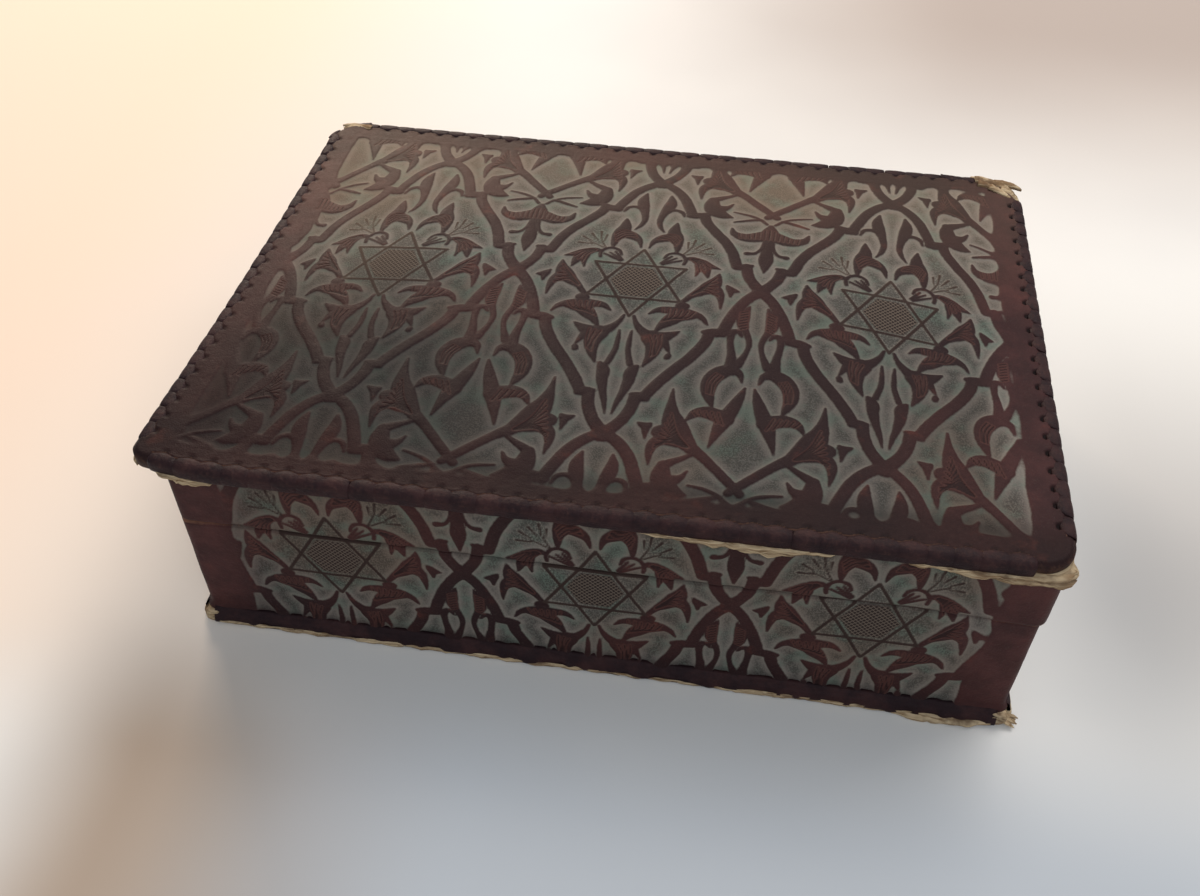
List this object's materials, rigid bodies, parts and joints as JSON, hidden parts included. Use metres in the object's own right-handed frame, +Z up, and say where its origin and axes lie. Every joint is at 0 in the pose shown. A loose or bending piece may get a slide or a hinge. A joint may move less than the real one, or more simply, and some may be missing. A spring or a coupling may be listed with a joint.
{
  "type": "leather covered wooden box",
  "caption": "Low rectangular hinged box of wood and board, covered outside with embossed leather, its overhanging lid slab laced round the edge.",
  "frame": {"origin": "on the table, under the middle of the box", "axes": "+X along the long side, to the right of someone facing the front; the front faces -Y; +Z up"},
  "size_m": [0.256, 0.184, 0.0768],
  "materials": {
    "embossed_leather": "embossed, worn, slight sheen",
    "thong_leather": "worn flat thong",
    "layered_board": "raw layered board, frayed",
    "carcass_wood": "waxed softwood",
    "lining_cloth": "aged ribbed cloth on card",
    "cover_paper": "dark grained paper",
    "wadding": "cotton wadding",
    "hinge_brass": "dull aged brass"
  },
  "bodies": {
    "base": {"underside_cover": "cover_paper", "base_board": "layered_board", "base_binding_front": "thong_leather", "base_binding_right": "thong_leather", "base_binding_back": "thong_leather", "base_binding_left": "thong_leather", "base_front_wall": "carcass_wood", "base_back_wall": "carcass_wood", "base_left_wall": "carcass_wood", "base_right_wall": "carcass_wood", "base_leather_band": "embossed_leather", "base_front_lining": "lining_cloth", "base_back_lining": "lining_cloth", "base_left_lining": "lining_cloth", "base_right_lining": "lining_cloth", "base_floor_lining": "lining_cloth", "hinge_left_lower_leaf": "hinge_brass", "hinge_left_pin": "hinge_brass", "hinge_left_lower_screw_1": "hinge_brass", "hinge_left_lower_screw_2": "hinge_brass", "hinge_right_lower_leaf": "hinge_brass", "hinge_right_pin": "hinge_brass", "hinge_right_lower_screw_1": "hinge_brass", "hinge_right_lower_screw_2": "hinge_brass"},
    "lid": {"lid_front_wall": "carcass_wood", "lid_back_wall": "carcass_wood", "lid_left_wall": "carcass_wood", "lid_right_wall": "carcass_wood", "lid_leather_band": "embossed_leather", "lid_front_lining": "lining_cloth", "lid_back_lining": "lining_cloth", "lid_left_lining": "lining_cloth", "lid_right_lining": "lining_cloth", "lid_ceiling_lining": "lining_cloth", "lid_under_board": "layered_board", "lid_board": "layered_board", "lid_padding": "wadding", "lid_top_leather": "embossed_leather", "lid_lacing_front": "thong_leather", "lid_lacing_right": "thong_leather", "lid_lacing_back": "thong_leather", "lid_lacing_left": "thong_leather", "hinge_left_upper_leaf": "hinge_brass", "hinge_left_upper_screw_1": "hinge_brass", "hinge_left_upper_screw_2": "hinge_brass", "hinge_right_upper_leaf": "hinge_brass", "hinge_right_upper_screw_1": "hinge_brass", "hinge_right_upper_screw_2": "hinge_brass"}
  },
  "joints": [
    {"name": "lid_hinge", "type": "hinge", "parent": "base", "child": "lid", "pos_m": [0, 0.09, 0.048], "axis": [-1, 0, 0], "range_deg": [0, 175]}
  ]
}
